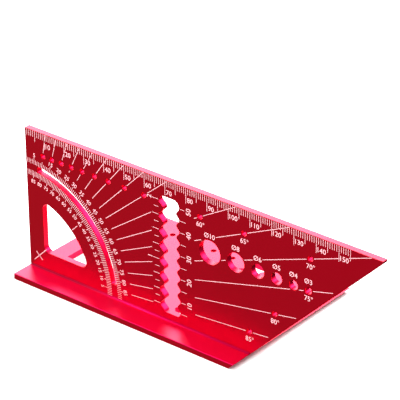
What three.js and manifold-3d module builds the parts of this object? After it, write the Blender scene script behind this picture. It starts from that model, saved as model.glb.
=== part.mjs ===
// Three-plane marking square: an upright scale plate, a base plate that lies on the work and a narrow
// fence lip in front, all members of one aluminium angle profile. Millimetres, +Z up.
// The layout starts at the fold: the front left corner where the upright meets the fence. +X runs along
// the ruler edge, +Y goes back over the base and +Z goes up the upright. Both plates carry the same
// pattern of cut-outs, laid out as (u, v): u along the fold, v away from it.

import * as THREE from 'three';
import { mergeVertices } from 'three/addons/utils/BufferGeometryUtils.js';
import Module from 'manifold-3d';

const wasm = await Module();
wasm.setup();

// Members
const LENGTH = 170; // ruler edge, from the square end to the sharp tip of the mitred end
const HEIGHT = 60; // upright, above the base's top face
const BASE_DEPTH = 59.5; // base plate, behind the upright
const FENCE_REACH = 10; // fence lip, in front of the upright
const THICKNESS = 2.5; // every member
const TIP_FLAT = 1; // blunting of the sharp tip

// Triangular window near the fold corner
const WINDOW_SIDE = 7.7; // strip left of it
const WINDOW_FOOT = 8; // strip below it
const WINDOW_RADIUS = 31.5;
const WINDOW_CORNER = 2.5;

// Protractor slot
const ARC_RADIUS = 43.9; // middle of the slot
const ARC_WIDTH = 3;
const ARC_END = 7.5; // degrees that it stops short of each leg
const ARC_CORNER = 1;

// Scribing slot with a metric notched edge on the right and an inch one on the left
const SLOT_MIDDLE = 71.9;
const SLOT_LEFT_HALF = 4.05; // middle to the mean line of the left edge
const SLOT_RIGHT_HALF = 4.05; // middle to the mean line of the right edge
const SLOT_FOOT = 3.3;
const SLOT_TOP_INSET = 7.1; // plate left above the slot
const METRIC_PITCH = 5;
const METRIC_SWING = 0.75; // half the depth of a notch
const INCH_PITCH = 25.4 / 4;
const INCH_SWING = 1.15;

// Pencil holes on the rays of the protractor
const MARK_INSET = 10; // in from the ruler edge and from the mitred end
const MARK_RADIUS = 1.2;
const MARK_ANGLES = { first: 10, last: 85, step: 5 }; // degrees from the left edge
const MIN_WEB = 0.5; // metal that a pencil hole needs around it

// Dowel gauge: a row of holes, smallest on the mitred end's pencil row
const GAUGE_DIAMETERS = [3, 4, 5, 6, 8, 10];
const GAUGE_WEB = 3.2;
const GAUGE_ANGLE = 75;

// Facets
const FACET = THREE.MathUtils.degToRad(15);
const ROUND_HOLE_SIDES = 24;
const MARK_SIDES = 12;
const WAVE_STEPS = 8; // per notch

const FOOT = LENGTH - HEIGHT; // length of the base, since the mitred end is at 45 degrees
const TIP = LENGTH - TIP_FLAT;
const RED_ALUMINIUM = { color: 0xb00020, roughness: 0.34, metalness: 0.9 };

const point = (u, v) => new THREE.Vector2(u, v);
const radians = THREE.MathUtils.degToRad;

// Points of an arc from one angle to another, both ends included
function arc(centre, radius, from, to) {
  const steps = Math.max(2, Math.ceil(Math.abs(to - from) / FACET));
  return Array.from({ length: steps + 1 }, (_, i) => {
    const angle = from + ((to - from) * i) / steps;
    return point(centre.x + radius * Math.cos(angle), centre.y + radius * Math.sin(angle));
  });
}

function ring(centre, radius, sides) {
  return Array.from({ length: sides }, (_, i) => {
    const angle = (2 * Math.PI * i) / sides;
    return point(centre.x + radius * Math.cos(angle), centre.y + radius * Math.sin(angle));
  });
}

// Window: two straight sides and an arc about the fold corner, with rounded corners
function windowOutline() {
  const near = point(WINDOW_SIDE + WINDOW_CORNER, WINDOW_FOOT + WINDOW_CORNER);
  const reach = WINDOW_RADIUS - WINDOW_CORNER;
  const right = point(Math.sqrt(reach ** 2 - near.y ** 2), near.y);
  const top = point(near.x, Math.sqrt(reach ** 2 - near.x ** 2));
  return [
    ...arc(near, WINDOW_CORNER, Math.PI, 1.5 * Math.PI),
    ...arc(right, WINDOW_CORNER, -Math.PI / 2, right.angle()),
    ...arc(point(0, 0), WINDOW_RADIUS, right.angle(), top.angle()).slice(1, -1),
    ...arc(top, WINDOW_CORNER, top.angle(), Math.PI),
  ];
}

// Protractor slot: a ring sector about the fold corner, with rounded corners
function arcSlotOutline() {
  const origin = point(0, 0);
  const start = radians(ARC_END);
  const end = Math.PI / 2 - start;
  const corner = (radius, angle, turn) => {
    const offset = Math.asin(ARC_CORNER / radius) * turn;
    return point(radius, 0).rotateAround(origin, angle + offset);
  };
  const outer = ARC_RADIUS + ARC_WIDTH / 2;
  const inner = ARC_RADIUS - ARC_WIDTH / 2;
  const outerStart = corner(outer - ARC_CORNER, start, 1);
  const outerEnd = corner(outer - ARC_CORNER, end, -1);
  const innerEnd = corner(inner + ARC_CORNER, end, -1);
  const innerStart = corner(inner + ARC_CORNER, start, 1);
  return [
    ...arc(outerStart, ARC_CORNER, start - Math.PI / 2, outerStart.angle()),
    ...fineArc(outer, outerStart.angle(), outerEnd.angle()),
    ...arc(outerEnd, ARC_CORNER, outerEnd.angle(), end + Math.PI / 2),
    ...arc(innerEnd, ARC_CORNER, end + Math.PI / 2, innerEnd.angle() + Math.PI),
    ...fineArc(inner, innerEnd.angle(), innerStart.angle()),
    ...arc(innerStart, ARC_CORNER, innerStart.angle() + Math.PI, start + 1.5 * Math.PI),
  ];
}

// The long sides of the protractor slot need finer facets; the ends belong to the corners
function fineArc(radius, from, to) {
  const steps = Math.ceil((4 * Math.abs(to - from)) / FACET);
  return Array.from({ length: steps - 1 }, (_, i) => {
    const angle = from + ((to - from) * (i + 1)) / steps;
    return point(radius * Math.cos(angle), radius * Math.sin(angle));
  });
}

// Edge of the scribing slot: a cosine wave with a notch at every pitch
function waveEdge(mean, swing, pitch, from, to) {
  const steps = Math.ceil(((to - from) / pitch) * WAVE_STEPS);
  return Array.from({ length: steps + 1 }, (_, i) => {
    const v = from + ((to - from) * i) / steps;
    return point(mean + swing * Math.cos((2 * Math.PI * v) / pitch), v);
  });
}

// Scribing slot: the metric edge ends in its last notch, from where a round corner meets the top
function scribingSlotOutline() {
  const top = HEIGHT - SLOT_TOP_INSET;
  const lastNotch = Math.floor(top / METRIC_PITCH) * METRIC_PITCH;
  const rightMean = SLOT_MIDDLE + SLOT_RIGHT_HALF;
  const leftMean = SLOT_MIDDLE - SLOT_LEFT_HALF;
  const round = top - lastNotch;
  const corner = point(rightMean + METRIC_SWING - round, lastNotch);
  return [
    ...waveEdge(rightMean, METRIC_SWING, METRIC_PITCH, SLOT_FOOT, lastNotch),
    ...arc(corner, round, 0, Math.PI / 2).slice(1),
    ...waveEdge(leftMean, -INCH_SWING, INCH_PITCH, SLOT_FOOT, top).reverse(),
  ];
}

// Where a protractor ray meets the pencil row: along the ruler edge, or along the mitred end
function markPoint(degrees) {
  const slope = Math.tan(radians(degrees));
  const topRow = HEIGHT - MARK_INSET;
  const endRow = slope > 1 ? (FOOT - MARK_INSET) / (slope - 1) : Infinity;
  const v = Math.min(topRow, endRow);
  return point(v * slope, v);
}

// Gauge holes step back from the smallest one with equal webs between them
function gaugeHoles() {
  const first = markPoint(GAUGE_ANGLE);
  const holes = [];
  let edge = first.x + GAUGE_DIAMETERS[0] / 2;
  for (const diameter of GAUGE_DIAMETERS) {
    holes.push({ centre: point(edge - diameter / 2, first.y), radius: diameter / 2 });
    edge -= diameter + GAUGE_WEB;
  }
  return holes;
}

// A ray has no pencil hole of its own where a larger opening already takes that place
function isClear(spot, gauge) {
  const room = MARK_RADIUS + MIN_WEB;
  const left = SLOT_MIDDLE - SLOT_LEFT_HALF - INCH_SWING - room;
  const right = SLOT_MIDDLE + SLOT_RIGHT_HALF + METRIC_SWING + room;
  const besideSlot = spot.x < left || spot.x > right;
  const besideArc = Math.abs(spot.length() - ARC_RADIUS) > ARC_WIDTH / 2 + room;
  return besideSlot && besideArc && gauge.every((h) => spot.distanceTo(h.centre) > h.radius + room);
}

function pencilHoles(gauge, furthest) {
  const holes = [];
  for (let angle = MARK_ANGLES.first; angle <= MARK_ANGLES.last; angle += MARK_ANGLES.step) {
    const spot = markPoint(angle);
    if (spot.x < furthest && isClear(spot, gauge)) holes.push(ring(spot, MARK_RADIUS, MARK_SIDES));
  }
  return holes;
}

// A plate outline with its cut-outs, moved by the given distance away from the fold
function plateShape(outline, cutouts, shift) {
  const moved = (points) => points.map((p) => point(p.x, p.y + shift));
  const shape = new THREE.Shape(moved(outline));
  shape.holes = cutouts.map((points) => new THREE.Path(moved(points)));
  return shape;
}

const extrude = (shape, depth) => new THREE.ExtrudeGeometry(shape, { depth, bevelEnabled: false });

// Extrude an (x, z) outline back along +Y, starting at the given y
function extrudeBack(shape, start, depth) {
  return extrude(shape, depth).rotateX(Math.PI / 2).translate(0, start + depth, 0);
}

function toSolid(geometry) {
  const bare = geometry.clone();
  bare.deleteAttribute('normal');
  bare.deleteAttribute('uv');
  const merged = mergeVertices(bare);
  const vertProperties = new Float32Array(merged.attributes.position.array);
  const triVerts = new Uint32Array(merged.index.array);
  return new wasm.Manifold(new wasm.Mesh({ numProp: 3, vertProperties, triVerts }));
}

function toGeometry(solid) {
  const mesh = solid.getMesh();
  const geometry = new THREE.BufferGeometry();
  geometry.setAttribute('position', new THREE.BufferAttribute(mesh.vertProperties, 3));
  geometry.setIndex(new THREE.BufferAttribute(mesh.triVerts, 1));
  geometry.computeVertexNormals();
  return geometry;
}

// Upright: square left end, mitred right end with a blunt tip, full pattern of cut-outs
function scalePlate() {
  const outline = [
    point(0, -THICKNESS),
    point(FOOT - THICKNESS, -THICKNESS),
    point(TIP, HEIGHT - TIP_FLAT),
    point(TIP, HEIGHT),
    point(0, HEIGHT),
  ];
  const gauge = gaugeHoles();
  const cutouts = [
    windowOutline(),
    arcSlotOutline(),
    scribingSlotOutline(),
    ...pencilHoles(gauge, TIP),
    ...gauge.map((hole) => ring(hole.centre, hole.radius, ROUND_HOLE_SIDES)),
  ];
  return extrudeBack(plateShape(outline, cutouts, 0), 0, THICKNESS);
}

// Base: a rectangle with the same pattern but no gauge row, cut by the mitred end's plane
function basePlate() {
  const overshoot = 1;
  const outline = [
    point(0, 0),
    point(FOOT + overshoot, 0),
    point(FOOT + overshoot, BASE_DEPTH),
    point(0, BASE_DEPTH),
  ];
  const cutouts = [
    windowOutline(),
    arcSlotOutline(),
    scribingSlotOutline(),
    ...pencilHoles([], FOOT - MARK_INSET),
  ];
  const slab = extrude(plateShape(outline, cutouts, THICKNESS), THICKNESS).translate(0, 0, -THICKNESS);
  const wedge = new THREE.Shape([
    point(FOOT - THICKNESS - overshoot, -THICKNESS - overshoot),
    point(FOOT + 2 * overshoot, -THICKNESS - overshoot),
    point(FOOT + 2 * overshoot, 2 * overshoot),
  ]);
  const cutter = extrudeBack(wedge, THICKNESS - overshoot, BASE_DEPTH + 2 * overshoot);
  return toGeometry(toSolid(slab).subtract(toSolid(cutter)));
}

// Fence lip: a plain strip in front of the upright, with the same mitred end
function fenceFlange() {
  const outline = [
    point(0, -THICKNESS),
    point(FOOT - THICKNESS, -THICKNESS),
    point(FOOT, 0),
    point(0, 0),
  ];
  return extrudeBack(new THREE.Shape(outline), -FENCE_REACH, FENCE_REACH);
}

function member(name, geometry) {
  const mesh = new THREE.Mesh(geometry, new THREE.MeshStandardMaterial(RED_ALUMINIUM));
  mesh.name = name;
  return mesh;
}

// The origin of the finished model is the middle of its footprint, on the surface it stands on
const square = new THREE.Group();
square.add(
  member('scale_plate', scalePlate()),
  member('base_plate', basePlate()),
  member('fence_flange', fenceFlange()),
);
square.position.set(-TIP / 2, -(THICKNESS + BASE_DEPTH - FENCE_REACH) / 2, THICKNESS);

export default square;
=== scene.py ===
"""Three-plane marking square: red anodised aluminium with laser-marked scales.

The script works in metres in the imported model's frame. Layouts are in millimetres from the fold
corner, where the upright meets the fence: u runs along the fold, v away from it, up the upright or
out over the base.
"""

import math

import bmesh
import bpy
from mathutils import Matrix, Quaternion, Vector


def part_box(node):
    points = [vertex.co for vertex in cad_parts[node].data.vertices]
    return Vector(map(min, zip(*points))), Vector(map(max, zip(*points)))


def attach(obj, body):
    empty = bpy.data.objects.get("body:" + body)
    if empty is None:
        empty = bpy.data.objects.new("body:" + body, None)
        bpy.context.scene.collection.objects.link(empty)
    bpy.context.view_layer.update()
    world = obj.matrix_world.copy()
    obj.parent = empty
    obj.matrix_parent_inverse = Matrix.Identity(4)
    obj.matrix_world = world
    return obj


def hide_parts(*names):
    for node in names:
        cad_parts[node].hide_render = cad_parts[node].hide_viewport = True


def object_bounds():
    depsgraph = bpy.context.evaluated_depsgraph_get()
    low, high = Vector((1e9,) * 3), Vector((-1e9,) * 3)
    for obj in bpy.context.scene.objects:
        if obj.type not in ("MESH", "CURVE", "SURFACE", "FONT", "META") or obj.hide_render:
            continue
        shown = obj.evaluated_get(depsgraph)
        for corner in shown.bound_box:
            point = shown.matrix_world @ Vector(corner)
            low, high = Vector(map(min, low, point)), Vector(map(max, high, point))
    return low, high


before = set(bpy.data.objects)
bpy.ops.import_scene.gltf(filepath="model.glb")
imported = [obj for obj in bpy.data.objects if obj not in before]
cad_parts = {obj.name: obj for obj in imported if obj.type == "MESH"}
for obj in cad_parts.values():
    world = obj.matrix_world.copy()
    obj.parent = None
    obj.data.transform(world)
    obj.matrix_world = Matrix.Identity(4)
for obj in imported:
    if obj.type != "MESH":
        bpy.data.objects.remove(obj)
cad_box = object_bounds()

MM = 0.001
NEAR = 0.001  # millimetres within which two places count as one

# Members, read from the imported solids
plate_low, plate_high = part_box("scale_plate")
base_low, base_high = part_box("base_plate")
fence_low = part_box("fence_flange")[0]
FOLD = Vector((plate_low.x, plate_low.y, base_high.z))
THICKNESS = (plate_high.y - plate_low.y) / MM
HEIGHT = (plate_high.z - FOLD.z) / MM
TIP = (plate_high.x - FOLD.x) / MM
FOOT = (base_high.x - FOLD.x) / MM
BASE_DEPTH = (base_high.y - base_low.y) / MM
FENCE_REACH = (FOLD.y - fence_low.y) / MM
TIP_FLAT = FOOT + HEIGHT - TIP

# Finish of the metal's edges
EDGE_ROUND = 0.25
EDGE_SEGMENTS = 3
SHARP = math.radians(30)
FOLD_FILLET = 0.7
FILLET_STEPS = 6

# Cut-outs, as in the solids
WINDOW_SIDE = 7.7
WINDOW_FOOT = 8.0
WINDOW_RADIUS = 31.5
WINDOW_CORNER = 2.5
ARC_RADIUS = 43.9
ARC_WIDTH = 3.0
ARC_END = 7.5
ARC_CORNER = 1.0
SLOT_MIDDLE = 71.9
SLOT_HALF = 4.05
SLOT_FOOT = 3.3
SLOT_TOP_INSET = 7.1
METRIC_PITCH = 5.0
METRIC_SWING = 0.75
INCH = 25.4
INCH_PITCH = INCH / 4
INCH_SWING = 1.15
MARK_INSET = 10.0
MARK_RADIUS = 1.2
MARK_ANGLES = range(10, 90, 5)
MIN_WEB = 0.5
GAUGE_DIAMETERS = (3, 4, 5, 6, 8, 10)
GAUGE_WEB = 3.2
GAUGE_ANGLE = 75

# Smoothness of curved edges
ARC_FACET = math.radians(3)
HOLE_SIDES = 48
MARK_SIDES = 24
WAVE_STEPS = 16

# Laser marking
STROKE = 0.21
FINE_STROKE = 0.18
RELIEF = 0.03
SUNK = 0.01
DIGIT_HEIGHT = 2.0
GLYPH_RESOLUTION = 3

# Tick lengths are short, middle and long, and a step pair says how often the last two come
EVERY_OTHER = (2, 2)
EVERY_FIVE = (5, 5)
FIVES_AND_TENS = (5, 10)

RULER_LAST = 155
RULER_TICKS = (2.6, 4.5, 6.4)
RULER_NUMBER_DROP = 5.05
RULER_NUMBER_INDENT = 0.6

LAST_DEGREE = 89
LEFT_OUT_DEGREE = 10  # the outer row of numbers has no 10
OUTER_NUMBERS = {"radius": 49.4, "height": 1.75}
INNER_NUMBERS = {"radius": 37.8, "height": 1.55}
OUTER_TICKS = (1.9, 2.9, 2.9)
INNER_TICKS = (2.2, 3.2, 3.2)

SLOT_TICK_START = 5.3
METRIC_TICKS = (2.0, 2.0, 2.6)
INCH_TICKS = (2.1, 2.1, 2.9)
METRIC_NUMBER_OFFSET = 9.2
INCH_NUMBER_OFFSET = 9.7
SLOT_NUMBER_HEIGHT = 2.2

CROSS_STROKE = 0.34
CROSS = (((2.2, 2.8), (8.6, 9.1)), ((3.3, 6.8), (6.5, 3.8)))
DIAGONAL_MARK = (32.1, 36.0)

GAUGE_LABEL_RISE = (0.85, 2.6)  # share of the hole's radius, and a fixed rise
ANGLE_LABEL_OFFSET = (0.2, -3.1)
LABELLED_ANGLES = range(60, 90, 5)

RAY_START = 52.5
RAY_END_INSET = 1.9
RAY_STEP = 0.1
SHORTEST_RAY = 0.3
RAY_GAP_AT_MARK = 0.6
RAY_GAP_AT_GAUGE = 0.7
LAST_RAY_BEFORE_MITRE = 45
RAY_ENDING_AT_SLOT = 55
SLOT_CLEAR = (63.1, 83.8)  # rays keep out of this stretch of u, below the slot's top


# ---------------------------------------------------------------- outlines, in millimetres


def polar(radius, angle):
    return Vector((radius * math.cos(angle), radius * math.sin(angle)))


def arc(centre, radius, start, end, facet=ARC_FACET):
    steps = max(3, math.ceil(abs(end - start) / facet))
    return [centre + polar(radius, start + (end - start) * i / steps) for i in range(steps + 1)]


def ring(centre, radius, sides):
    return [centre + polar(radius, math.tau * i / sides) for i in range(sides)]


def heading(point):
    return math.atan2(point.y, point.x)


def window_outline():
    """Two straight sides and an arc about the fold corner, with rounded corners."""
    near = Vector((WINDOW_SIDE + WINDOW_CORNER, WINDOW_FOOT + WINDOW_CORNER))
    reach = WINDOW_RADIUS - WINDOW_CORNER
    right = Vector((math.sqrt(reach**2 - near.y**2), near.y))
    top = Vector((near.x, math.sqrt(reach**2 - near.x**2)))
    corner_facet = 4 * ARC_FACET
    return (
        arc(near, WINDOW_CORNER, math.pi, 1.5 * math.pi, corner_facet)
        + arc(right, WINDOW_CORNER, -math.pi / 2, heading(right), corner_facet)
        + arc(Vector((0, 0)), WINDOW_RADIUS, heading(right), heading(top))[1:-1]
        + arc(top, WINDOW_CORNER, heading(top), math.pi, corner_facet)
    )


def arc_slot_outline():
    """A ring sector about the fold corner, with rounded corners."""
    start = math.radians(ARC_END)
    end = math.pi / 2 - start
    outer = ARC_RADIUS + ARC_WIDTH / 2
    inner = ARC_RADIUS - ARC_WIDTH / 2
    facet = 6 * ARC_FACET

    def corner(radius, angle, turn):
        return polar(radius, angle + turn * math.asin(ARC_CORNER / radius))

    outer_start = corner(outer - ARC_CORNER, start, 1)
    outer_end = corner(outer - ARC_CORNER, end, -1)
    inner_end = corner(inner + ARC_CORNER, end, -1)
    inner_start = corner(inner + ARC_CORNER, start, 1)
    fold = Vector((0, 0))
    return (
        arc(outer_start, ARC_CORNER, start - math.pi / 2, heading(outer_start), facet)
        + arc(fold, outer, heading(outer_start), heading(outer_end), ARC_FACET / 2)[1:-1]
        + arc(outer_end, ARC_CORNER, heading(outer_end), end + math.pi / 2, facet)
        + arc(inner_end, ARC_CORNER, end + math.pi / 2, heading(inner_end) + math.pi, facet)
        + arc(fold, inner, heading(inner_end), heading(inner_start), ARC_FACET / 2)[1:-1]
        + arc(inner_start, ARC_CORNER, heading(inner_start) + math.pi, start + 1.5 * math.pi, facet)
    )


def wave_edge(mean, swing, pitch, start, end):
    steps = math.ceil((end - start) / pitch * WAVE_STEPS)
    heights = [start + (end - start) * i / steps for i in range(steps + 1)]
    return [Vector((mean + swing * math.cos(math.tau * v / pitch), v)) for v in heights]


def scribing_slot_outline():
    """Notched on both edges; the metric edge ends in its last notch and a round corner."""
    top = HEIGHT - SLOT_TOP_INSET
    last_notch = math.floor(top / METRIC_PITCH) * METRIC_PITCH
    corner_round = top - last_notch
    right = SLOT_MIDDLE + SLOT_HALF
    left = SLOT_MIDDLE - SLOT_HALF
    corner = Vector((right + METRIC_SWING - corner_round, last_notch))
    return (
        wave_edge(right, METRIC_SWING, METRIC_PITCH, SLOT_FOOT, last_notch)
        + arc(corner, corner_round, 0, math.pi / 2, 4 * ARC_FACET)[1:]
        + wave_edge(left, -INCH_SWING, INCH_PITCH, SLOT_FOOT, top)[::-1]
    )


def mark_point(degrees):
    """Where a protractor ray meets the pencil row, along the ruler edge or the mitred end."""
    slope = math.tan(math.radians(degrees))
    top_row = HEIGHT - MARK_INSET
    end_row = (FOOT - MARK_INSET) / (slope - 1) if slope > 1 else math.inf
    v = min(top_row, end_row)
    return Vector((v * slope, v))


def gauge_holes():
    """(centre, radius) of each gauge hole, stepping back from the smallest with equal webs."""
    first = mark_point(GAUGE_ANGLE)
    edge = first.x + GAUGE_DIAMETERS[0] / 2
    holes = []
    for diameter in GAUGE_DIAMETERS:
        holes.append((Vector((edge - diameter / 2, first.y)), diameter / 2))
        edge -= diameter + GAUGE_WEB
    return holes


def is_clear(spot, gauge):
    room = MARK_RADIUS + MIN_WEB
    left = SLOT_MIDDLE - SLOT_HALF - INCH_SWING - room
    right = SLOT_MIDDLE + SLOT_HALF + METRIC_SWING + room
    beside_slot = spot.x < left or spot.x > right
    beside_arc = abs(spot.length - ARC_RADIUS) > ARC_WIDTH / 2 + room
    return beside_slot and beside_arc and all((spot - c).length > r + room for c, r in gauge)


def pencil_spots(gauge, furthest):
    spots = [mark_point(angle) for angle in MARK_ANGLES]
    return [spot for spot in spots if spot.x < furthest and is_clear(spot, gauge)]


# ---------------------------------------------------------------- members


class Side:
    """A flat side of the square: places (u, v) and a height above the surface, all in mm."""

    def __init__(self, corner, v_axis, normal):
        self.corner = corner
        self.u_axis = Vector((1, 0, 0))
        self.v_axis = Vector(v_axis)
        self.normal = Vector(normal)

    def spot(self, u, v, height=0.0):
        return self.corner + (self.u_axis * u + self.v_axis * v + self.normal * height) * MM

    def matrix(self, centre, up):
        """Matrix that lays a flat drawing on this side with its top towards up, never mirrored."""
        top = (self.u_axis * up[0] + self.v_axis * up[1]).normalized()
        right = top.cross(self.normal)
        turn = Matrix((right, top, self.normal)).transposed().to_4x4()
        return Matrix.Translation(self.spot(*centre)) @ turn @ Matrix.Scale(MM, 4)

    def lift(self):
        """Raise a drawing so that a bar of full relief stands just proud of the surface."""
        return Matrix.Translation(self.normal * (RELIEF / 2 - SUNK) * MM)


FRONT = Side(FOLD, (0, 0, 1), (0, -1, 0))


def closed_slab(loops, depth):
    """Flat loops, the outline first, filled and given a depth. Returns a bmesh in millimetres."""
    bm = bmesh.new()
    for loop in loops:
        verts = [bm.verts.new((p[0], p[1], 0)) for p in loop]
        for a, b in zip(verts, verts[1:] + verts[:1]):
            bm.edges.new((a, b))
    bmesh.ops.triangle_fill(bm, use_beauty=True, use_dissolve=False, edges=bm.edges[:])
    copy = bmesh.ops.extrude_face_region(bm, geom=bm.faces[:], use_keep_orig=True)
    moved = [v for v in copy["geom"] if isinstance(v, bmesh.types.BMVert)]
    bmesh.ops.translate(bm, verts=moved, vec=(0, 0, depth))
    bmesh.ops.recalc_face_normals(bm, faces=bm.faces[:])
    return bm


def round_edges(bm, is_seam):
    """Break every sharp edge, but leave the seams between members sharp so that they vanish."""
    edges = [e for e in bm.edges if e.calc_face_angle(0) > SHARP and not is_seam(e)]
    bmesh.ops.bevel(
        bm,
        geom=edges,
        offset=EDGE_ROUND,
        offset_type="OFFSET",
        segments=EDGE_SEGMENTS,
        profile=0.5,
        affect="EDGES",
        clamp_overlap=True,
    )


def shade(mesh):
    """Large flat faces stay flat; curved walls and rounded edges are smooth."""
    flat = 0.99999
    mitre = Vector((1, 0, -1)).normalized()
    for face in mesh.polygons:
        straight = max(abs(c) for c in face.normal)
        face.use_smooth = max(straight, abs(face.normal.dot(mitre))) < flat
    return mesh


def piece(name, mesh, material, slot, *nodes):
    obj = bpy.data.objects.new(name, mesh)
    bpy.context.collection.objects.link(obj)
    mesh.materials.clear()
    mesh.materials.append(material)
    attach(obj, "root")
    if nodes:
        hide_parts(*nodes)
    return obj


def to_mesh(bm, name, matrix):
    bmesh.ops.transform(bm, matrix=matrix, verts=bm.verts[:])
    bmesh.ops.recalc_face_normals(bm, faces=bm.faces[:])
    mesh = bpy.data.meshes.new(name)
    bm.to_mesh(mesh)
    bm.free()
    return mesh


def at_level(edge, axis, value):
    return all(abs(v.co[axis] - value) < NEAR for v in edge.verts)


def add_fillet(bm, corner, run, rise, length):
    """Concave fillet along the fold: a strip between two faces that meet at the given corner."""
    centre = corner + (run + rise) * FOLD_FILLET
    section = [corner - (run + rise) * SUNK]
    for i in range(FILLET_STEPS + 1):
        angle = math.pi / 2 * i / FILLET_STEPS
        section.append(centre - (run * math.cos(angle) + rise * math.sin(angle)) * FOLD_FILLET)
    section.insert(1, section[1] - run * SUNK)
    section.append(section[-1] - rise * SUNK)
    ends = []
    for u in (EDGE_ROUND, length - EDGE_ROUND):
        ends.append([bm.verts.new((u, p.y, p.z)) for p in section])
    count = len(section)
    for i in range(count):
        j = (i + 1) % count
        bm.faces.new((ends[0][i], ends[0][j], ends[1][j], ends[1][i]))
    bm.faces.new(ends[0])
    bm.faces.new(ends[1][::-1])


def to_frame():
    """Millimetres from the fold corner to metres in the frame."""
    return Matrix.Translation(FOLD) @ Matrix.Scale(MM, 4)


# A slab lies in (u, v, depth); this stands it up with its depth running back
STAND = Matrix(((1, 0, 0, 0), (0, 0, 1, 0), (0, 1, 0, 0), (0, 0, 0, 1)))


def make_upright(material):
    outline = [
        (0, -THICKNESS),
        (FOOT - THICKNESS, -THICKNESS),
        (FOOT, 0),
        (TIP, HEIGHT - TIP_FLAT),
        (TIP, HEIGHT),
        (0, HEIGHT),
        (0, 0),
    ]
    gauge = gauge_holes()
    loops = [outline, window_outline(), arc_slot_outline(), scribing_slot_outline()]
    loops += [ring(spot, MARK_RADIUS, MARK_SIDES) for spot in pencil_spots(gauge, TIP)]
    loops += [ring(centre, radius, HOLE_SIDES) for centre, radius in gauge]
    bm = closed_slab(loops, THICKNESS)

    def is_seam(edge):
        low = min(v.co.y for v in edge.verts)
        across = at_level(edge, 1, -THICKNESS) and abs(edge.verts[0].co.z - edge.verts[1].co.z) > NEAR
        return low < -NEAR and not across

    round_edges(bm, is_seam)
    mesh = to_mesh(bm, "upright", to_frame() @ STAND)
    return piece("upright", shade(mesh), material, "red_anodised", "scale_plate")


def make_base(material):
    outline = [(0, 0), (FOOT, 0), (FOOT, BASE_DEPTH), (0, BASE_DEPTH)]
    loops = [outline, window_outline(), arc_slot_outline(), scribing_slot_outline()]
    spots = pencil_spots([], FOOT - MARK_INSET)
    loops += [ring(spot, MARK_RADIUS, MARK_SIDES) for spot in spots]
    bm = closed_slab(loops, -THICKNESS)
    for vert in bm.verts:
        if vert.co.x > FOOT - NEAR:
            vert.co.x += vert.co.z
    round_edges(bm, lambda edge: at_level(edge, 1, 0))
    bmesh.ops.translate(bm, verts=bm.verts[:], vec=(0, THICKNESS, 0))
    back, up = Vector((0, 1, 0)), Vector((0, 0, 1))
    add_fillet(bm, Vector((0, THICKNESS, 0)), back, up, FOOT)
    mesh = to_mesh(bm, "base", to_frame())
    return piece("base", shade(mesh), material, "red_anodised", "base_plate")


def make_fence(material):
    outline = [(0, -THICKNESS), (FOOT - THICKNESS, -THICKNESS), (FOOT, 0), (0, 0)]
    bm = closed_slab([outline], -FENCE_REACH)
    round_edges(bm, lambda edge: at_level(edge, 2, 0))
    bmesh.ops.transform(bm, matrix=STAND, verts=bm.verts[:])
    forward, up = Vector((0, -1, 0)), Vector((0, 0, 1))
    add_fillet(bm, Vector((0, 0, 0)), forward, up, FOOT)
    mesh = to_mesh(bm, "fence", to_frame())
    return piece("fence", shade(mesh), material, "red_anodised", "fence_flange")


# ---------------------------------------------------------------- ticks, by Geometry Nodes


def add_node(tree, kind, settings=None, **inputs):
    """Add a node, set its properties, then link or set each input, by name or, as _0, by place."""
    node = tree.nodes.new(kind)
    for name, value in (settings or {}).items():
        setattr(node, name, value)
    for name, value in inputs.items():
        socket = node.inputs[int(name[1:])] if name[1:].isdigit() else node.inputs[name.replace("_", " ")]
        if isinstance(value, bpy.types.NodeSocket):
            tree.links.new(value, socket)
        else:
            socket.default_value = value
    return node


MATHS = "ShaderNodeMath"
PLUS = {"operation": "ADD"}
TIMES = {"operation": "MULTIPLY"}
REMAINDER = {"operation": "FLOORED_MODULO"}


def tick_tree(name, sizes, layout, material):
    """A tree that lays one bar at each tick. layout(tree, inputs, index, length) gives a place and turn."""
    tree = bpy.data.node_groups.new(name, "GeometryNodeTree")
    for label, kind in sizes.items():
        tree.interface.new_socket(name=label, in_out="INPUT", socket_type=kind)
    tree.interface.new_socket(name="Ticks", in_out="OUTPUT", socket_type="NodeSocketGeometry")
    inputs = tree.nodes.new("NodeGroupInput").outputs
    count_from = add_node(tree, "GeometryNodeInputIndex").outputs[0]
    index = add_node(tree, MATHS, PLUS, _0=count_from, _1=inputs["First"]).outputs[0]

    def on_every(step):
        rest = add_node(tree, MATHS, REMAINDER, _0=index, _1=step)
        less = {"data_type": "FLOAT", "operation": "LESS_THAN"}
        return add_node(tree, "FunctionNodeCompare", less, _0=rest.outputs[0], _1=0.5).outputs[0]

    def choose(condition, no, yes):
        switch = {"input_type": "FLOAT"}
        node = add_node(tree, "GeometryNodeSwitch", switch, _0=condition, _1=no, _2=yes)
        return node.outputs[0]

    middle = choose(on_every(inputs["Middle every"]), inputs["Short"], inputs["Middle"])
    length = choose(on_every(inputs["Long every"]), middle, inputs["Long"])
    line = add_node(tree, "GeometryNodeMeshLine", Count=inputs["Count"])
    place, turn = layout(tree, inputs, index, length)
    spread = add_node(tree, "GeometryNodeSetPosition", Geometry=line.outputs[0], Position=place)
    bar = add_node(tree, "GeometryNodeMeshCube")
    scale = add_node(tree, "ShaderNodeCombineXYZ", X=inputs["Stroke"], Y=length, Z=inputs["Relief"])
    placed = add_node(
        tree,
        "GeometryNodeInstanceOnPoints",
        Points=spread.outputs[0],
        Instance=bar.outputs[0],
        Rotation=turn,
        Scale=scale.outputs[0],
    )
    real = add_node(tree, "GeometryNodeRealizeInstances", Geometry=placed.outputs[0])
    painted = add_node(tree, "GeometryNodeSetMaterial", Geometry=real.outputs[0], Material=material)
    out = tree.nodes.new("NodeGroupOutput")
    tree.links.new(painted.outputs[0], out.inputs[0])
    return tree


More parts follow.
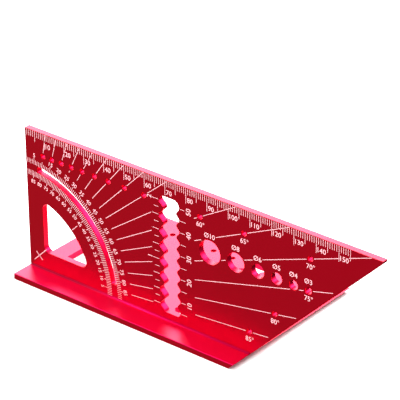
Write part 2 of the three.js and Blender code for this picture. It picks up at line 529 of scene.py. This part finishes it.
def row_layout(tree, inputs, index, length):
    """Ticks in a straight row along x, hanging down y."""
    x = add_node(tree, MATHS, TIMES, _0=index, _1=inputs["Pitch"])
    y = add_node(tree, MATHS, TIMES, _0=length, _1=-0.5)
    place = add_node(tree, "ShaderNodeCombineXYZ", X=x.outputs[0], Y=y.outputs[0])
    turn = add_node(tree, "FunctionNodeEulerToRotation")
    return place.outputs[0], turn.outputs[0]


def fan_layout(tree, inputs, index, length):
    """Ticks round an arc, clockwise from y, growing outwards from the radius or inwards."""
    angle = add_node(tree, MATHS, TIMES, _0=index, _1=inputs["Step"]).outputs[0]
    half = add_node(tree, MATHS, TIMES, _0=length, _1=0.5).outputs[0]
    outwards = add_node(tree, MATHS, TIMES, _0=half, _1=inputs["Outwards"]).outputs[0]
    reach = add_node(tree, MATHS, PLUS, _0=inputs["Radius"], _1=outwards).outputs[0]
    sine = add_node(tree, MATHS, {"operation": "SINE"}, _0=angle).outputs[0]
    cosine = add_node(tree, MATHS, {"operation": "COSINE"}, _0=angle).outputs[0]
    x = add_node(tree, MATHS, TIMES, _0=sine, _1=reach).outputs[0]
    y = add_node(tree, MATHS, TIMES, _0=cosine, _1=reach).outputs[0]
    place = add_node(tree, "ShaderNodeCombineXYZ", X=x, Y=y)
    back = add_node(tree, MATHS, TIMES, _0=angle, _1=-1.0).outputs[0]
    euler = add_node(tree, "ShaderNodeCombineXYZ", Z=back)
    turn = add_node(tree, "FunctionNodeEulerToRotation", Euler=euler.outputs[0])
    return place.outputs[0], turn.outputs[0]


NUMBER = "NodeSocketFloat"
WHOLE = "NodeSocketInt"
COMMON_SIZES = {
    "Count": WHOLE,
    "First": WHOLE,
    "Stroke": NUMBER,
    "Relief": NUMBER,
    "Short": NUMBER,
    "Middle": NUMBER,
    "Long": NUMBER,
    "Middle every": WHOLE,
    "Long every": WHOLE,
}


def grow_ticks(tree, values, matrix):
    """Run a tick tree once and return its plain mesh, moved by the matrix."""
    holder = bpy.data.objects.new("ticks", bpy.data.meshes.new("ticks"))
    bpy.context.collection.objects.link(holder)
    modifier = holder.modifiers.new("ticks", "NODES")
    modifier.node_group = tree
    sockets = {s.name: s.identifier for s in tree.interface.items_tree if s.in_out == "INPUT"}
    for name, value in values.items():
        modifier[sockets[name]] = value
    holder.update_tag()
    graph = bpy.context.evaluated_depsgraph_get()
    graph.update()
    mesh = bpy.data.meshes.new_from_object(holder.evaluated_get(graph), depsgraph=graph)
    bpy.data.objects.remove(holder)
    mesh.transform(matrix)
    return mesh


class Ticks:
    """Grows rows and fans of ticks on one side of the square."""

    def __init__(self, side, material):
        self.side = side
        row_sizes = dict(COMMON_SIZES, Pitch=NUMBER)
        fan_sizes = dict(COMMON_SIZES, Step=NUMBER, Radius=NUMBER, Outwards=NUMBER)
        self.row_tree = tick_tree("tick row", row_sizes, row_layout, material)
        self.fan_tree = tick_tree("tick fan", fan_sizes, fan_layout, material)

    def grow(self, tree, start, up, lengths, every, **values):
        values.update(zip(("Short", "Middle", "Long"), lengths))
        values.update({"Middle every": every[0], "Long every": every[1]})
        values.update({"Stroke": FINE_STROKE, "Relief": RELIEF})
        return grow_ticks(tree, values, self.side.lift() @ self.side.matrix(start, up))

    def row(self, start, hang, count, pitch, lengths, every, first=0):
        up = (-hang[0], -hang[1])
        return self.grow(self.row_tree, start, up, lengths, every, Count=count, First=first, Pitch=pitch)

    def fan(self, radius, outwards, lengths):
        return self.grow(
            self.fan_tree,
            (0, 0),
            (0, 1),
            lengths,
            EVERY_FIVE,
            Count=LAST_DEGREE,
            First=1,
            Step=math.radians(1),
            Radius=radius,
            Outwards=outwards,
        )


# ---------------------------------------------------------------- numbers and strokes

_glyphs = {}


def glyph_mesh(text):
    """Flat text of unit size as a closed mesh of unit thickness, centred."""
    if text not in _glyphs:
        curve = bpy.data.curves.new("text", "FONT")
        curve.body = text
        curve.extrude = 0.5
        curve.resolution_u = GLYPH_RESOLUTION
        holder = bpy.data.objects.new("text", curve)
        bpy.context.collection.objects.link(holder)
        graph = bpy.context.evaluated_depsgraph_get()
        graph.update()
        mesh = bpy.data.meshes.new_from_object(holder.evaluated_get(graph), depsgraph=graph)
        bpy.data.objects.remove(holder)
        xs = [v.co.x for v in mesh.vertices]
        ys = [v.co.y for v in mesh.vertices]
        low, high = Vector((min(xs), min(ys))), Vector((max(xs), max(ys)))
        middle = (low + high) / 2
        mesh.transform(Matrix.Translation((-middle.x, -middle.y, 0)))
        _glyphs[text] = (mesh, high - low)
    return _glyphs[text]


def digit_unit():
    return glyph_mesh("0")[1].y


class Lettering:
    """Text and strokes on one side, gathered into one mesh."""

    def __init__(self, side):
        self.side = side
        self.bm = bmesh.new()
        self.blocks = []

    def lay(self, mesh, matrix):
        copy = mesh.copy()
        copy.transform(matrix)
        self.bm.from_mesh(copy)
        bpy.data.meshes.remove(copy)

    def text(self, words, centre, up=(0, 1), height=DIGIT_HEIGHT, left=False, gap=0.5):
        """Write words centred on a place, or starting there, and keep rays off them."""
        mesh, size = glyph_mesh(words)
        scale = height / digit_unit()
        half = size * scale / 2
        centre = Vector(centre)
        if left:
            centre.x += half.x
        flat = Matrix.Diagonal((scale, scale, RELIEF, 1))
        self.lay(mesh, self.side.lift() @ self.side.matrix(centre, up) @ flat)
        reach = half if abs(up[0]) < abs(up[1]) else Vector((half.y, half.x))
        self.blocks.append((centre - reach - Vector((gap, gap)), centre + reach + Vector((gap, gap))))

    def around(self, words, outward, numbers):
        """Write words on the protractor, their tops away from the fold corner. The rays start beyond
        them, so they keep nothing off."""
        self.text(words, outward * numbers["radius"], outward, height=numbers["height"], gap=-1)

    def stroke(self, start, end, width=STROKE):
        """A straight line of the given width."""
        along = Vector(end) - Vector(start)
        across = Vector((-along.y, along.x)).normalized() * width / 2
        corners = [start + across, start - across, end - across, end + across]
        low = [self.bm.verts.new(self.side.spot(p.x, p.y, -SUNK)) for p in corners]
        high = [self.bm.verts.new(self.side.spot(p.x, p.y, RELIEF - SUNK)) for p in corners]
        self.bm.faces.new(low)
        self.bm.faces.new(high[::-1])
        for i in range(4):
            j = (i + 1) % 4
            self.bm.faces.new((low[i], low[j], high[j], high[i]))

    def is_blocked(self, p, circles):
        if SLOT_CLEAR[0] < p.x < SLOT_CLEAR[1] and p.y < HEIGHT - SLOT_TOP_INSET:
            return True
        if any((p - centre).length < radius for centre, radius in circles):
            return True
        return any(a.x < p.x < b.x and a.y < p.y < b.y for a, b in self.blocks)

    def ray(self, degrees, start, end, circles):
        """A protractor ray from one radius to another, broken at holes, slots and numbers."""
        direction = Vector((math.sin(math.radians(degrees)), math.cos(math.radians(degrees))))
        first = None
        for i in range(math.ceil((end - start) / RAY_STEP) + 1):
            radius = min(start + i * RAY_STEP, end)
            point = direction * radius
            blocked = self.is_blocked(point, circles) or radius >= end
            if not blocked and first is None:
                first = point
            elif blocked and first is not None:
                if (point - first).length > SHORTEST_RAY:
                    self.stroke(first, point)
                first = None

    def finish(self, name, material):
        bmesh.ops.remove_doubles(self.bm, verts=self.bm.verts[:], dist=NEAR * MM)
        bmesh.ops.recalc_face_normals(self.bm, faces=self.bm.faces[:])
        mesh = bpy.data.meshes.new(name)
        self.bm.to_mesh(mesh)
        self.bm.free()
        return piece(name, mesh, material, "laser_marking")


def joined(meshes, name, material):
    bm = bmesh.new()
    for mesh in meshes:
        bm.from_mesh(mesh)
        bpy.data.meshes.remove(mesh)
    bmesh.ops.recalc_face_normals(bm, faces=bm.faces[:])
    mesh = bpy.data.meshes.new(name)
    bm.to_mesh(mesh)
    bm.free()
    return piece(name, mesh, material, "laser_marking")


def ruler(ticks, letters, last):
    """Millimetre scale along the ruler edge, clear of its rounding."""
    for value in range(10, last + 1, 10):
        place = (value + RULER_NUMBER_INDENT, HEIGHT - RULER_NUMBER_DROP)
        letters.text(str(value), place, left=True, gap=0.2)
    return ticks.row((0, HEIGHT - EDGE_ROUND), (0, -1), last, 1.0, RULER_TICKS, FIVES_AND_TENS, first=1)


def protractor(ticks, letters):
    """Degree ticks on both sides of the curved slot, numbered both ways."""
    for degrees in range(5, 90, 5):
        turn = math.radians(degrees)
        outward = Vector((math.sin(turn), math.cos(turn)))
        if degrees != LEFT_OUT_DEGREE:
            letters.around(str(degrees), outward, OUTER_NUMBERS)
        letters.around(str(90 - degrees), outward, INNER_NUMBERS)
    outer = ticks.fan(ARC_RADIUS + ARC_WIDTH / 2, 1.0, OUTER_TICKS)
    inner = ticks.fan(ARC_RADIUS - ARC_WIDTH / 2, -1.0, INNER_TICKS)
    return [outer, inner]


def slot_scales(ticks, letters):
    """Metric ticks right of the scribing slot and inch ticks left of it."""
    right, left = SLOT_MIDDLE + SLOT_TICK_START, SLOT_MIDDLE - SLOT_TICK_START
    top = round(HEIGHT - MARK_INSET)
    steps = round(top / METRIC_PITCH)
    metric = ticks.row((right, METRIC_PITCH), (1, 0), steps, METRIC_PITCH, METRIC_TICKS, EVERY_OTHER)
    first = math.floor((HEIGHT - SLOT_TOP_INSET) / INCH_PITCH) * INCH_PITCH
    half_pitch = INCH_PITCH / 2
    count = round((first - INCH_PITCH) / half_pitch) + 1
    inch = ticks.row((left, first), (-1, 0), count, half_pitch, INCH_TICKS, EVERY_OTHER)
    sideways = {"up": (-1, 0), "height": SLOT_NUMBER_HEIGHT}
    for value in range(10, top + 1, 10):
        letters.text(str(value), (SLOT_MIDDLE + METRIC_NUMBER_OFFSET, value), **sideways)
    for value in (1, 2):
        letters.text(str(value), (SLOT_MIDDLE - INCH_NUMBER_OFFSET, INCH * value), gap=0.1, **sideways)
    return [metric, inch]


def corner_cross(letters):
    """Cross in the fold corner, between the zero of both legs and the window."""
    for start, end in CROSS:
        letters.stroke(Vector(start), Vector(end), CROSS_STROKE)
    diagonal = Vector((1, 1)).normalized()
    letters.stroke(diagonal * DIAGONAL_MARK[0], diagonal * DIAGONAL_MARK[1])


def gauge_labels(letters):
    """Diameter over each gauge hole, closer to the smaller ones."""
    for centre, radius in gauge_holes():
        rise = radius * GAUGE_LABEL_RISE[0] + GAUGE_LABEL_RISE[1]
        letters.text(f"Ø{2 * radius:g}", centre + Vector((0, rise)))


def angle_labels(letters):
    """Angle under each far pencil hole."""
    for degrees in LABELLED_ANGLES:
        letters.text(f"{degrees}°", mark_point(degrees) + Vector(ANGLE_LABEL_OFFSET))


def rays(letters, gauge, spots):
    circles = [(spot, MARK_RADIUS + RAY_GAP_AT_MARK) for spot in spots]
    circles += [(centre, radius + RAY_GAP_AT_GAUGE) for centre, radius in gauge]
    for degrees in MARK_ANGLES:
        turn = math.radians(degrees)
        end = (HEIGHT - EDGE_ROUND) / math.cos(turn)
        if degrees > LAST_RAY_BEFORE_MITRE:
            end = min(end, (FOOT - RAY_END_INSET) / (math.sin(turn) - math.cos(turn)))
        if degrees == RAY_ENDING_AT_SLOT:
            end = SLOT_CLEAR[0] / math.sin(turn)
        letters.ray(degrees, RAY_START, end, circles)


def make_front_marking(material):
    ticks = Ticks(FRONT, material)
    letters = Lettering(FRONT)
    meshes = [ruler(ticks, letters, RULER_LAST)]
    meshes += protractor(ticks, letters)
    meshes += slot_scales(ticks, letters)
    corner_cross(letters)
    gauge_labels(letters)
    angle_labels(letters)
    gauge = gauge_holes()
    rays(letters, gauge, pencil_spots(gauge, TIP))
    return [joined(meshes, "front_ticks", material), letters.finish("front_lettering", material)]


# ---------------------------------------------------------------- materials


def linear(code):
    """sRGB hex code to a linear colour."""
    channels = [int(code[i : i + 2], 16) / 255 for i in (1, 3, 5)]
    return [c / 12.92 if c <= 0.04045 else ((c + 0.055) / 1.055) ** 2.4 for c in channels] + [1.0]


def new_material(name):
    material = bpy.data.materials.new(name)
    material.use_nodes = True
    tree = material.node_tree
    return material, tree, tree.nodes["Principled BSDF"]


# Sizes of the patterns in the finish, in millimetres
GRAIN_SIZE = 0.25  # etched grain, which is finer on the metal and is coarse here so that it shows
GRAIN_RELIEF = 0.02
CLOUD_SIZE = 50 / 3  # slow change of the dye along the profile
MOTTLE_SIZE = 2 / 3  # uneven bleaching


def pattern_scale(size):
    """Scale of a noise whose features are the given size in millimetres."""
    return 1 / (size * MM)


def red_anodised_aluminium():
    """Milled profile, etched satin, dyed red and sealed: a coloured metallic glow under a thin clear
    oxide, with a fine etched grain that softens reflections."""
    material, tree, surface = new_material("Red anodised aluminium")
    place = add_node(tree, "ShaderNodeTexCoord").outputs["Object"]
    fine, broad = pattern_scale(GRAIN_SIZE), pattern_scale(CLOUD_SIZE)
    noise = "ShaderNodeTexNoise"
    grain = add_node(tree, noise, Vector=place, Scale=fine, Detail=3.0, Roughness=0.6).outputs[0]
    cloud = add_node(tree, noise, Vector=place, Scale=broad, Detail=2.0).outputs[0]
    colour = {"data_type": "RGBA"}
    dye = add_node(tree, "ShaderNodeMix", colour, _0=cloud, _6=linear("#D40043"), _7=linear("#DA004B"))
    tree.links.new(dye.outputs[2], surface.inputs["Base Color"])
    rough = add_node(tree, "ShaderNodeMapRange", Value=grain, To_Min=0.38, To_Max=0.48)
    tree.links.new(rough.outputs[0], surface.inputs["Roughness"])
    bump = add_node(tree, "ShaderNodeBump", Height=grain, Strength=0.08, Distance=GRAIN_RELIEF * MM)
    tree.links.new(bump.outputs[0], surface.inputs["Normal"])
    surface.inputs["Metallic"].default_value = 1.0
    surface.inputs["Coat Weight"].default_value = 0.08
    surface.inputs["Coat Roughness"].default_value = 0.3
    return material


def laser_marking():
    """Dye bleached out of the oxide by a laser: a pale, slightly pink, matt line."""
    material, tree, surface = new_material("Laser-bleached oxide")
    place = add_node(tree, "ShaderNodeTexCoord").outputs["Object"]
    patches = pattern_scale(MOTTLE_SIZE)
    mottle = add_node(tree, "ShaderNodeTexNoise", Vector=place, Scale=patches, Detail=2.0).outputs[0]
    colour = {"data_type": "RGBA"}
    tint = add_node(tree, "ShaderNodeMix", colour, _0=mottle, _6=linear("#F3A9B2"), _7=linear("#FFD6DA"))
    tree.links.new(tint.outputs[2], surface.inputs["Base Color"])
    surface.inputs["Roughness"].default_value = 0.6
    return material


def studio_white():
    """Plain matt backdrop paper."""
    material, tree, surface = new_material("White backdrop paper")
    surface.inputs["Base Color"].default_value = linear("#E8E8E8")
    surface.inputs["Roughness"].default_value = 0.9
    surface.inputs["Specular IOR Level"].default_value = 0.1
    return material


# ---------------------------------------------------------------- studio

FLOOR_REACH = 4.0


def paper_sheet(name, low, high, level, paper):
    """A flat sheet of backdrop paper between two corners."""
    bm = bmesh.new()
    corners = ((low.x, low.y), (high.x, low.y), (high.x, high.y), (low.x, high.y))
    bm.faces.new([bm.verts.new((x, y, level)) for x, y in corners])
    mesh = bpy.data.meshes.new(name)
    bm.to_mesh(mesh)
    bm.free()
    mesh.materials.append(paper)
    sheet = bpy.data.objects.new(name, mesh)
    bpy.context.collection.objects.link(sheet)
    return sheet


def make_floor():
    """The floor does not show in reflections. A sheet under the base does, so that the walls of its
    openings mirror it, and it lies just above the floor so that it is lit."""
    paper = studio_white()
    edge = Vector((FLOOR_REACH, FLOOR_REACH))
    floor = paper_sheet("floor", -edge, edge, 0.0, paper)
    floor.visible_glossy = False
    front_left = Vector((base_low.x, fence_low.y))
    under = paper_sheet("floor_under_base", front_left, base_high, SUNK * MM / 2, paper)
    return [floor, under]


def aim(obj, target, twist=0.0):
    obj.rotation_mode = "QUATERNION"
    look = (Vector(target) - obj.location).to_track_quat("-Z", "Y")
    obj.rotation_quaternion = look @ Quaternion((0, 0, 1), twist)


# Long lens, high on the front right, a touch off level
CAMERA_LENS = 237.63
CAMERA_SENSOR = 36
CAMERA_PLACE = (0.54466, -0.68037, 0.51404)
CAMERA_TARGET = (0.00229, -0.026, 0.05956)
CAMERA_TWIST = math.radians(-0.659)


def make_camera():
    data = bpy.data.cameras.new("camera")
    data.lens = CAMERA_LENS
    data.sensor_width = CAMERA_SENSOR
    camera = bpy.data.objects.new("camera", data)
    camera.location = CAMERA_PLACE
    bpy.context.collection.objects.link(camera)
    aim(camera, CAMERA_TARGET, CAMERA_TWIST)
    bpy.context.scene.camera = camera


def softbox(name, place, target, width, height, radiance, tint):
    """Rectangular light with a given brightness of its face."""
    data = bpy.data.lights.new(name, "AREA")
    data.shape = "RECTANGLE"
    data.size = width
    data.size_y = height
    data.color = linear(tint)[:3]
    data.energy = radiance * math.pi * width * height
    light = bpy.data.objects.new(name, data)
    light.location = place
    bpy.context.collection.objects.link(light)
    aim(light, target)
    return light


# The room changes across the horizon, and each card darkens the directions near its own
HORIZON = {"From_Min": -0.12, "From_Max": 0.12}
ROOM_STRENGTH = {"To_Min": 0.48, "To_Max": 0.9}
ROOM_BELOW = "#FFE070"
ROOM_ABOVE = "#FFFFFF"
CARD_BORDER = {"From_Min": 0.6, "From_Max": 0.88, "To_Min": 1.0, "To_Max": 0.06}
BLACK_CARDS = ((-0.5, 0.7, 0.45), (0.54, 0.68, -0.47))


def make_world():
    """Bright room above the floor's level, a dimmer and warmer one below it for the front to mirror,
    and two soft-edged black cards."""
    scene = bpy.context.scene
    scene.view_settings.view_transform = "Standard"
    world = bpy.data.worlds.new("studio")
    scene.world = world
    world.use_nodes = True
    tree = world.node_tree
    direction = add_node(tree, "ShaderNodeTexCoord").outputs["Generated"]
    height = add_node(tree, "ShaderNodeSeparateXYZ", Vector=direction).outputs["Z"]
    strength = add_node(tree, "ShaderNodeMapRange", Value=height, **HORIZON, **ROOM_STRENGTH).outputs[0]
    for card in BLACK_CARDS:
        towards = {"operation": "DOT_PRODUCT"}
        along = add_node(tree, "ShaderNodeVectorMath", towards, _0=direction, _1=card).outputs["Value"]
        left_over = add_node(tree, "ShaderNodeMapRange", Value=along, **CARD_BORDER).outputs[0]
        strength = add_node(tree, MATHS, TIMES, _0=strength, _1=left_over).outputs[0]
    share = add_node(tree, "ShaderNodeMapRange", Value=height, **HORIZON).outputs[0]
    colour = {"data_type": "RGBA"}
    tint = add_node(
        tree, "ShaderNodeMix", colour, _0=share, _6=linear(ROOM_BELOW), _7=linear(ROOM_ABOVE)
    )
    background = tree.nodes["Background"]
    tree.links.new(strength, background.inputs["Strength"])
    tree.links.new(tint.outputs[2], background.inputs["Color"])


# Panels round the square: offset from its middle, width, height, brightness of the face, tint
ROOM_PANELS = {
    "top_panel": ((0.1, -0.2, 1.2), 1.0, 1.0, 1.0, "#FFFFFF"),
}
METAL_PANELS = {
    "rear_left_panel": ((-0.62, 0.75, 0.52), 0.7, 0.7, 11.5, "#FFF4D2"),
    "rear_right_panel": ((0.47, 0.68, 0.56), 0.6, 0.5, 14.0, "#FFF4D2"),
    "front_left_panel": ((-0.56, -0.47, 0.68), 0.3, 0.3, 10.0, "#FFE8FF"),
    "key_panel": ((-0.55, -0.05, 0.78), 0.6, 0.6, 7.0, "#B0B8FF"),
}
FLOOR_PANELS = {
    "floor_panel": ((0.0, 0.0, 2.5), 4.0, 4.0, 5.0, "#FFFFFF"),
}


def hang_panels(panels, lit_objects=None):
    """Hang the panels; with lit_objects, they light those alone."""
    middle = (cad_box[0] + cad_box[1]) / 2
    for name, (offset, width, height, radiance, tint) in panels.items():
        panel = softbox(name, middle + Vector(offset), middle, width, height, radiance, tint)
        if lit_objects:
            lit = bpy.data.collections.new("lit by " + name)
            for obj in lit_objects:
                lit.objects.link(obj)
            panel.light_linking.receiver_collection = lit


def make_light(pieces, floors):
    """The floor's own panel keeps it pale all round; the metal's panels leave no shadow on it."""
    make_world()
    hang_panels(ROOM_PANELS)
    hang_panels(METAL_PANELS, pieces)
    hang_panels(FLOOR_PANELS, floors)


make_camera()
metal = red_anodised_aluminium()
marks = laser_marking()
pieces = [make_upright(metal), make_base(metal), make_fence(metal)]
pieces += make_front_marking(marks)
make_light(pieces, make_floor())
